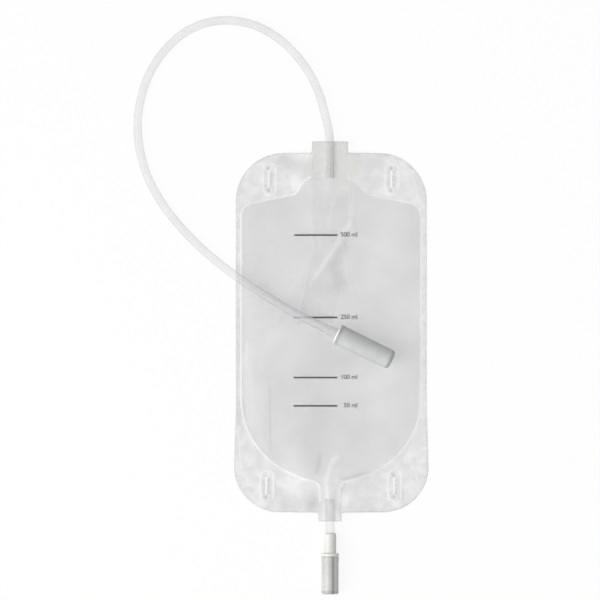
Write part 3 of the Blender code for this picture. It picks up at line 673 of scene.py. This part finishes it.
def filmMaterial():
    look = filmLook
    made, tree, shader = newMaterial("clear film")
    place = objectPlace(tree)
    broad = ranged(tree, grain(tree, place, 38.0, 3.0), 0.32, 0.68, 0.0, 1.0)
    patch = ranged(tree, grain(tree, place, 150.0, 4.0, 0.62), 0.36, 0.66, 0.0, 1.0)
    flange = painted(tree, "flange")
    welded = painted(tree, "weld")
    fold = painted(tree, "fold")
    tab = painted(tree, "tab")
    darker, lighter = look["chamber"]
    chamber = tint(tree, broad, (darker,) * 3, (lighter,) * 3)
    darker, lighter = look["flange"]
    outside = tint(tree, patch, (darker,) * 3, (lighter,) * 3)
    colour = tint(tree, flange, chamber, outside)
    colour = tint(tree, tab, colour, look["tab"])
    # painted shade along the outline, in the slots and in the dark streaks
    shade = painted(tree, "shade")
    colour = tint(tree, shade, colour, (look["shade"],) * 3)
    # welds and slot rims are drawn near white; folds and light streaks get painted highlights of the same
    # colour
    weldAndHighlight = sums(tree, "MAXIMUM", sums(tree, "MAXIMUM", welded, fold), painted(tree, "light"))
    colour = tint(tree, weldAndHighlight, colour, (look["weld"],) * 3)
    tree.links.new(colour, shader.inputs["Base Color"])
    alpha = between(tree, flange, look["chamberAlpha"], look["flangeAlpha"])
    alpha = between(tree, tab, alpha, look["tabAlpha"])
    alpha = between(tree, shade, alpha, look["shadeAlpha"])
    alpha = between(tree, weldAndHighlight, alpha, look["weldAlpha"])
    tree.links.new(alpha, shader.inputs["Alpha"])
    tree.links.new(ranged(tree, patch, 0.0, 1.0, 0.22, 0.38), shader.inputs["Roughness"])
    shader.inputs["IOR"].default_value = 1.5
    crinkled = ranged(tree, flange, 0.0, 1.0, look["chamberCrinkle"], 1.0)
    crinkle = sums(tree, "MULTIPLY", grain(tree, place, 160.0, 4.0, 0.6), crinkled)
    across = addNode(tree, "ShaderNodeSeparateXYZ", Vector=place).outputs["X"]
    ribs = addNode(tree, "ShaderNodeMath", {"operation": "SINE"})
    setInput(tree, ribs.inputs[0], sums(tree, "MULTIPLY", across, 2 * pi * look["rib"]))
    ribs = sums(tree, "MULTIPLY", sums(tree, "MULTIPLY", ribs.outputs[0], tab), look["ribHigh"])
    bumped(tree, shader, sums(tree, "ADD", crinkle, ribs), look["bump"], look["bumpHigh"])
    return made


valveLook = {"darker": (0.78, 0.78, 0.83), "lighter": (0.92, 0.92, 0.96), "bump": 0.4, "bumpHigh": 0.8 * mm}


def valveMaterial():
    look = valveLook
    made, tree, shader = newMaterial("thin valve film")
    place = objectPlace(tree)
    cloud = ranged(tree, grain(tree, place, 70.0, 3.0), 0.35, 0.65, 0.0, 1.0)
    colour = tint(tree, cloud, look["darker"], look["lighter"])
    tree.links.new(colour, shader.inputs["Base Color"])
    tree.links.new(ranged(tree, cloud, 0.0, 1.0, 0.025, 0.045), shader.inputs["Alpha"])
    tree.links.new(ranged(tree, cloud, 0.0, 1.0, 0.2, 0.35), shader.inputs["Roughness"])
    bumped(tree, shader, grain(tree, place, 140.0, 3.0), look["bump"], look["bumpHigh"])
    return made


wave = {
    "flangeHigh": 0.45 * mm, "flangeWave": 13 * mm, "flangeReach": 4 * mm, "flangeSeed": 3.7,
    "chamberHigh": 0.9 * mm, "chamberWave": 26 * mm, "chamberReach": 9 * mm, "chamberSeed": 8.2,
    "sunk": 0.35,               # how much of the chamber's wave lies below the even film
    "tentFade": 0.6 * mm,       # the tents' height at which the flange's wave has gone
}
# painted shade: a thin dark line along the outline, dark pupils in the slots' eyes and dark bands beside
# their slits
paint = {
    "outlineReach": 0.6 * mm, "outlineDark": 0.3, "eyeDark": 0.75, "bandDark": 0.7,
    "rimLight": 0.8, "flangeSoft": 1.2 * mm,
    "backWeld": 0.3, "backLight": 0.4,      # what the back film has of the front one's
}


def makeFilms():
    outline = bagOutline()
    right = chamberSide()
    left = [(-x, y) for x, y in right]
    chamber = bothSides(right)
    slits = []
    for x, y in slotPlaces():
        length = slot["eyePitch"] - 2 * (slot["eye"] - slot["beadHalf"])
        slits.append(oval(x + slot["shift"], y, slot["slitHalf"], length, 4))
    rims, eyes, bands = [], [], []
    for x, y in slotPlaces():
        rims.append(oval(x, y, slot["rimHalf"], slot["rimHigh"]))
        for side in (1, -1):
            eyes.append((x + slot["shift"], y + side * slot["eyePitch"] / 2))
            # the line of a band of painted shade beside the slit
            band = x + slot["shift"] + side * slot["band"]
            reach = slot["eyePitch"] / 2 - slot["eye"]
            bands.append([(band, y - reach), (band, y + reach)])
    rings = [circle(*eye, slot["eye"]) for eye in eyes]
    raised = [(right, False, weld["half"]), (left, False, weld["half"])]
    raised += [(rim, True, slot["beadHalf"]) for rim in rims]
    raised += [(ring, True, slot["eyeBeadHalf"]) for ring in rings]
    lines = []
    for path, closed, half in raised:
        lines += [(beside(path, half * share, closed), closed) for share in (-1, -0.5, 0, 0.5, 1)]
    net = makeNet(outline, slits, lines, film["pitch"])
    print("film net:", len(net[0]), "points")
    x, y = net[0][:, 0], net[0][:, 1]
    indoors = insideOf(x, y, chamber)
    edge = distanceTo(x, y, chamber)
    depth = np.where(indoors, edge, 0.0)
    puff = port["puff"] * (1 - np.exp(-depth / port["puffReach"]))
    weldNear = bead(np.minimum(distanceTo(x, y, right, False), distanceTo(x, y, left, False)), weld["half"])
    beads = [bead(distanceTo(x, y, rim), slot["beadHalf"]) for rim in rims]
    beads += [bead(distanceTo(x, y, ring), slot["eyeBeadHalf"]) for ring in rings]
    rimNear = np.max(beads, axis=0)
    # painted shade in the slots' eyes and along their bands
    inEyes = np.max([np.exp(-(np.hypot(x - ex, y - ey) / slot["pupil"]) ** 4) for ex, ey in eyes], axis=0)
    inBands = np.max([bead(distanceTo(x, y, band, False), slot["bandHalf"]) for band in bands], axis=0)
    middle = middleHeight(x, y)
    spread = gap / 2 + port["valveRoom"] * inTab(x, y)
    tent = tents(x, y)
    seenX = x + film["aside"] * ease((np.abs(x) - film["asideFrom"]) / film["asideFade"])
    rise, fold = foldRise(seenX, y)
    # painted highlights and painted shade of the streaks
    light, shade = paintedLightShares(seenX, y)
    border = paint["outlineDark"] * np.exp(-distanceTo(x, y, outline) / paint["outlineReach"])
    shade = np.max([shade, border, paint["eyeDark"] * inEyes, paint["bandDark"] * inBands], axis=0)
    free = 1 - np.exp(-depth / wave["chamberReach"])
    outward = np.where(indoors, 0.0, 1 - np.exp(-edge / wave["flangeReach"]))
    outward *= 1 - ease(tent / wave["tentFade"])
    bothWave = wave["flangeHigh"] * ripple(x, y, wave["flangeWave"], wave["flangeSeed"]) * outward
    ownWave = ripple(x, y, wave["chamberWave"], wave["chamberSeed"]) - wave["sunk"]
    ownWave = wave["chamberHigh"] * ownWave * free
    front = middle + spread + np.hypot(tent, puff) + weld["high"] * weldNear + slot["beadHigh"] * rimNear
    front += bothWave + ownWave + rise * free
    back = np.maximum(middle - spread - tent, film["thick"]) + bothWave
    # fold and light are painted highlights, shade is painted shade
    shares = {
        "flange": 1 - ease(np.where(indoors, depth, -edge) / paint["flangeSoft"] * 0.5 + 0.5),
        "weld": np.clip(weldNear + paint["rimLight"] * rimNear, 0, 1),
        "fold": fold * free,
        "tab": patchShare(seenX, y),
        "light": light,
        "shade": shade,
    }
    net = np.column_stack([seenX, y]), net[1]
    material = filmMaterial()
    makeSheet("frontFilm", net, front, film["thick"], True, shares, material, "front_film")
    # the back film gets part of the front's welds and painted highlights, and no fold highlights
    plainer = dict(shares, fold=fold * 0)
    plainer["weld"] = shares["weld"] * paint["backWeld"]
    plainer["light"] = light * paint["backLight"]
    makeSheet("backFilm", net, back, film["thick"], False, plainer, material, "back_film")


makeFilms()
print("films made")


valve = inMetres({
    "thick": 0.2, "half": 12.2, "long": 128.0, "lift": 1.1, "sway": 12.0,
    "swayStart": 95.0, "swayLong": 86.4, "pitch": 2.2, "fillet": 5.5,
})


def makeValve():
    finer = 0.6         # the pitch of the strips' net is this share of their outline's
    foot = tabTop - valve["long"]
    right = []
    for x, y in splitLong([(0.0, tabTop - gap), (0.0, foot)], valve["pitch"]):
        drift = valve["sway"] * ease((valve["swayStart"] - y) / valve["swayLong"])
        right.append((valve["half"] - drift, y))
    left = [(x - 2 * valve["half"], y) for x, y in reversed(right)]
    outline = splitLong(right + left, valve["pitch"], closed=True)
    net = makeNet(outline, [], [], valve["pitch"] * finer)
    x, y = net[0][:, 0], net[0][:, 1]
    sunk = 1 - ease((y - port["inletEnd"] + port["lead"] + port["fade"]) / port["fade"])
    over = tunnel(x, port["inlet"] + gap, valve["fillet"], gap / 2)
    over *= ease((y - port["inletEnd"] + port["lead"] + port["valveFade"]) / port["valveFade"])
    middle = middleHeight(x, y) + valve["lift"] * sunk
    material = valveMaterial()
    makeSheet("valveFrontStrip", net, middle + gap / 2 + over, valve["thick"], True, {}, material,
              "valve_front_film")
    makeSheet("valveBackStrip", net, middle - gap / 2 - over, valve["thick"], False, {}, material,
              "valve_back_film")


makeValve()
print("valve made")


# volume marks, printed on the front film

marks = {
    "right": 5.1 * mm, "lineHigh": 1.25 * mm, "lift": 0.05 * mm, "thick": 0.03 * mm,
    "textRight": 19.3 * mm, "textHigh": 3.0 * mm, "textUp": 0.5 * mm,
    "fontSize": 1.5,            # for a text height of 1
    "bolder": 0.045 * mm, "spacing": 0.96,
    "ink": ((0.075, 0.075, 0.078), (0.115, 0.115, 0.118)),
    "rows": [   # volume, height on the bag, left end of the line
        (500, 92.7 * mm, -24.9 * mm), (250, 35.1 * mm, -25.3 * mm),
        (100, -6.9 * mm, -25.5 * mm), (50, -26.7 * mm, -25.5 * mm),
    ],
}


def printMaterial():
    made, tree, shader = newMaterial("dark grey print")
    place = objectPlace(tree)
    colour = tint(tree, grain(tree, place, 900.0), *marks["ink"])
    tree.links.new(colour, shader.inputs["Base Color"])
    shader.inputs["Roughness"].default_value = 0.55
    return made


def filmTop():
    evaluated = bpy.data.objects["frontFilm"].evaluated_get(bpy.context.evaluated_depsgraph_get())
    mesh = evaluated.to_mesh()
    places = [v.co.copy() for v in mesh.vertices]
    tree = BVHTree.FromPolygons(places, [tuple(p.vertices) for p in mesh.polygons])
    evaluated.to_mesh_clear()
    return tree


def layOn(name, mesh, surface, material):
    # drops a flat mesh on the film and gives it its thickness
    above = 0.1
    down = Vector((0.0, 0.0, -1.0))
    for vertex in mesh.vertices:
        hit = surface.ray_cast(Vector((vertex.co.x, vertex.co.y, above)), down)[0]
        vertex.co.z = hit.z + marks["lift"]
    mesh.materials.clear()
    mesh.materials.append(material)
    made = linkObject(name, mesh)
    solid = made.modifiers.new("thickness", "SOLIDIFY")
    solid.thickness = marks["thick"]
    solid.offset = 0.0
    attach(made, "bag")


def markLine(left, right, y, high):
    mesh = bpy.data.meshes.new("markLine")
    count = 40
    xs = np.linspace(left, right, count + 1)
    points = [(x, y - high / 2, 0.0) for x in xs] + [(x, y + high / 2, 0.0) for x in xs]
    faces = [(k, k + 1, k + count + 2, k + count + 1) for k in range(count)]
    mesh.from_pydata(points, [], faces)
    return mesh


def markText(words, right, y, high):
    curve = bpy.data.curves.new("markText", "FONT")
    curve.body = words
    curve.align_x = "RIGHT"
    curve.size = high * marks["fontSize"]
    curve.offset = marks["bolder"]
    curve.space_character = marks["spacing"]
    curve.resolution_u = 6
    made = linkObject("markText", curve)
    bpy.context.view_layer.update()
    evaluated = made.evaluated_get(bpy.context.evaluated_depsgraph_get())
    mesh = bpy.data.meshes.new_from_object(evaluated)
    bpy.data.objects.remove(made)
    bpy.data.curves.remove(curve)
    heights = [v.co.y for v in mesh.vertices]
    middle = (min(heights) + max(heights)) / 2
    for vertex in mesh.vertices:
        vertex.co.x += right
        vertex.co.y += y - middle + marks["textUp"]
    return mesh


def makePrint():
    surface = filmTop()
    material = printMaterial()
    for volume, y, left in marks["rows"]:
        line = markLine(left, marks["right"], y, marks["lineHigh"])
        layOn(f"mark{volume}Line", line, surface, material)
        words = markText(f"{volume} ml", marks["textRight"], y, marks["textHigh"])
        layOn(f"mark{volume}Text", words, surface, material)


makePrint()
print("marks printed")


# finishes of the moulded pieces, whose meshes stay the frame's own

moulding = {
    # each cap's third colour is painted shade, for its mouth and far end
    "capDark": (0.55, 0.56, 0.56), "capLight": (0.61, 0.62, 0.62), "capEndShade": (0.45, 0.46, 0.46),
    "plugDark": (0.53, 0.535, 0.52), "plugLight": (0.59, 0.595, 0.58), "plugEndShade": (0.44, 0.445, 0.43),
    # a painted dark reflection along the outlet cap, and a painted highlight beside it
    "darkReflection": (0.20, 0.205, 0.195), "darkReflectionAt": 2.0 * mm, "darkReflectionHalf": 1.6 * mm, "darkReflectionShare": 0.68,
    "glow": (0.85, 0.85, 0.84), "glowAt": 4.1 * mm, "glowHalf": 0.7 * mm, "glowShare": 0.6,
    "milkyDark": (0.70, 0.71, 0.67), "milkyLight": (0.79, 0.795, 0.76),
    "flangeDark": (0.86, 0.865, 0.86), "flangeLight": (0.92, 0.92, 0.91),
    "capMouth": 1.5 * mm, "capEnd": 42.8 * mm,          # along the connector, from its flange's back
    "plugMouth": -129.9 * mm, "plugEnd": -158.3 * mm,   # along the bag
    "mouthEndShade": 1.7 * mm, "endEndShade": 2.6 * mm, "bandSoft": 0.5 * mm,
    "clearTo": -0.5 * mm, "milkyFrom": -0.2 * mm, "socketAlpha": 0.08,
}


def mouldedMaterial(name, dark, light, roughness):
    made, tree, shader = newMaterial(name)
    place = objectPlace(tree)
    cloud = ranged(tree, grain(tree, place, 90.0, 3.0), 0.3, 0.7, 0.0, 1.0)
    tree.links.new(tint(tree, cloud, dark, light), shader.inputs["Base Color"])
    fine = grain(tree, place, 1400.0, 2.0)
    rough = ranged(tree, fine, 0.3, 0.7, roughness - 0.05, roughness + 0.07)
    tree.links.new(rough, shader.inputs["Roughness"])
    shader.inputs["IOR"].default_value = 1.49
    bumped(tree, shader, fine, 0.08, 0.0002)
    return made


def endShadedMaterial(name, key, roughness, place, mouth, end):
    # painted shade: a cap drawn darker round its mouth and at its far end
    made = mouldedMaterial(name, moulding[key + "Dark"], moulding[key + "Light"], roughness)
    tree = made.node_tree
    shader = tree.nodes["Principled BSDF"]
    body = shader.inputs["Base Color"].links[0].from_socket
    soft = moulding["bandSoft"]
    firstEnd = mouth + moulding["mouthEndShade"]
    lastStart = end - moulding["endEndShade"]
    atMouth = ranged(tree, place(tree), firstEnd - soft, firstEnd, 1.0, 0.0)
    atEnd = ranged(tree, place(tree), lastStart - soft, lastStart + soft, 0.0, 1.0)
    band = sums(tree, "MAXIMUM", atMouth, atEnd)
    tree.links.new(tint(tree, band, body, moulding[key + "EndShade"]), shader.inputs["Base Color"])
    return made


def paintedReflections(material):
    # a painted dark reflection along the outlet cap, and a painted highlight beside it, as two soft stripes
    tree = material.node_tree
    shader = tree.nodes["Principled BSDF"]
    across = addNode(tree, "ShaderNodeSeparateXYZ", Vector=objectPlace(tree)).outputs["X"]
    for key in ("darkReflection", "glow"):
        off = addNode(tree, "ShaderNodeMath", {"operation": "ABSOLUTE"})
        setInput(tree, off.inputs[0], sums(tree, "SUBTRACT", across, moulding[key + "At"]))
        share = ranged(tree, off.outputs[0], 0.0, moulding[key + "Half"], moulding[key + "Share"], 0.0)
        body = shader.inputs["Base Color"].links[0].from_socket
        tree.links.new(tint(tree, share, body, moulding[key]), shader.inputs["Base Color"])
    return material


def dressNode(name, material):
    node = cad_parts[name]
    node.data.materials.clear()
    node.data.materials.append(material)


def dressMouldings():
    def downBag(tree):
        return alongAxis(tree, (0.0, 0.0, 0.0), (0.0, -1.0, 0.0))

    # both caps get painted shade at their ends, and the plug also gets painted reflections
    dressNode("connector_cap", endShadedMaterial("pale grey cap", "cap", 0.33, fromFlange,
                                              moulding["capMouth"], moulding["capEnd"]))
    dressNode("outlet_cap", paintedReflections(endShadedMaterial("pale grey plug", "plug", 0.28, downBag,
                                                       -moulding["plugMouth"], -moulding["plugEnd"])))
    milky = mouldedMaterial("milky moulding", moulding["milkyDark"], moulding["milkyLight"], 0.3)
    dressNode("outlet_spout", milky)
    # the connector's flange and spigot are milky, the socket that grips the tube is clear
    socketed = mouldedMaterial("milky connector", moulding["flangeDark"], moulding["flangeLight"], 0.3)
    tree = socketed.node_tree
    alpha = ranged(tree, fromFlange(tree), moulding["clearTo"], moulding["milkyFrom"],
                   moulding["socketAlpha"], 1.0)
    tree.links.new(alpha, tree.nodes["Principled BSDF"].inputs["Alpha"])
    dressNode("inlet_connector", socketed)
    # the outlet tube gets the same painted shade on its sides and painted light on top
    outletLook = dict(tube["look"], sideAlpha=0.22, topAlpha=0.11,
                      side=(0.40, 0.415, 0.40), top=(0.72, 0.74, 0.72))
    dressNode("outlet_tube", tubingMaterial("clear outlet tubing", outletLook))


dressMouldings()
print("mouldings dressed")


# floor, light and world

stageSet = {
    "floorHalf": 3.0, "floorDrop": 0.1 * mm, "floorWhite": 0.97, "floorOwn": 0.90,
    "world": 0.47, "worldLeast": 0.05,
    "worldLean": (-0.42, -0.14),    # how the room's light changes along X and Y
    "lights": [   # name, place, size, power
        ("leftWindow", (-1.1, -0.35, 1.25), (1.1, 1.1), 18.0),
        ("rightStrip", (1.15, 0.25, 0.85), (0.25, 1.2), 3.0),
    ],
}


def seenDirectly(tree):
    path = addNode(tree, "ShaderNodeLightPath")
    camera, glossy = path.outputs["Is Camera Ray"], path.outputs["Is Glossy Ray"]
    either = sums(tree, "MAXIMUM", camera, glossy)
    return sums(tree, "MAXIMUM", either, path.outputs["Is Transmission Ray"])


def makeStage():
    half = stageSet["floorHalf"]
    mesh = bpy.data.meshes.new("floor")
    z = -stageSet["floorDrop"]
    corners = [(-half, -half, z), (half, -half, z), (half, half, z), (-half, half, z)]
    mesh.from_pydata(corners, [], [(0, 1, 2, 3)])
    floor = linkObject("floor", mesh)
    made, tree, shader = newMaterial("white floor")
    white = stageSet["floorWhite"]
    shader.inputs["Base Color"].default_value = (white, white, white, 1.0)
    shader.inputs["Roughness"].default_value = 0.9
    shader.inputs["Specular IOR Level"].default_value = 0.0
    glow = addNode(tree, "ShaderNodeEmission", Strength=1.0)
    share = sums(tree, "MULTIPLY", seenDirectly(tree), stageSet["floorOwn"])
    mixed = addNode(tree, "ShaderNodeMixShader")
    tree.links.new(share, mixed.inputs[0])
    tree.links.new(shader.outputs[0], mixed.inputs[1])
    tree.links.new(glow.outputs[0], mixed.inputs[2])
    tree.links.new(mixed.outputs[0], tree.nodes["Material Output"].inputs["Surface"])
    mesh.materials.append(made)

    world = bpy.data.worlds.new("studio")
    bpy.context.scene.world = world
    world.use_nodes = True
    tree = world.node_tree
    back = tree.nodes["Background"]
    back.inputs["Color"].default_value = (1.0, 1.0, 1.0, 1.0)
    towards = addNode(tree, "ShaderNodeTexCoord").outputs["Generated"]
    way = addNode(tree, "ShaderNodeSeparateXYZ", Vector=towards)
    leanX, leanY = stageSet["worldLean"]
    lean = sums(tree, "ADD", sums(tree, "MULTIPLY", way.outputs["X"], leanX),
                sums(tree, "MULTIPLY", way.outputs["Y"], leanY))
    room = sums(tree, "MAXIMUM", sums(tree, "ADD", lean, stageSet["world"]), stageSet["worldLeast"])
    tree.links.new(between(tree, seenDirectly(tree), room, 1.0), back.inputs["Strength"])

    for name, place, size, power in stageSet["lights"]:
        data = bpy.data.lights.new(name, "AREA")
        data.shape = "RECTANGLE"
        data.size, data.size_y = size
        data.energy = power
        lamp = linkObject(name, data)
        lamp.location = place
        lamp.rotation_mode = "QUATERNION"
        lamp.rotation_quaternion = (-Vector(place)).to_track_quat("-Z", "Y")
    scene = bpy.context.scene
    scene.view_settings.view_transform = "Standard"
    scene.cycles.transparent_max_bounces = 32


makeStage()
print("stage set")
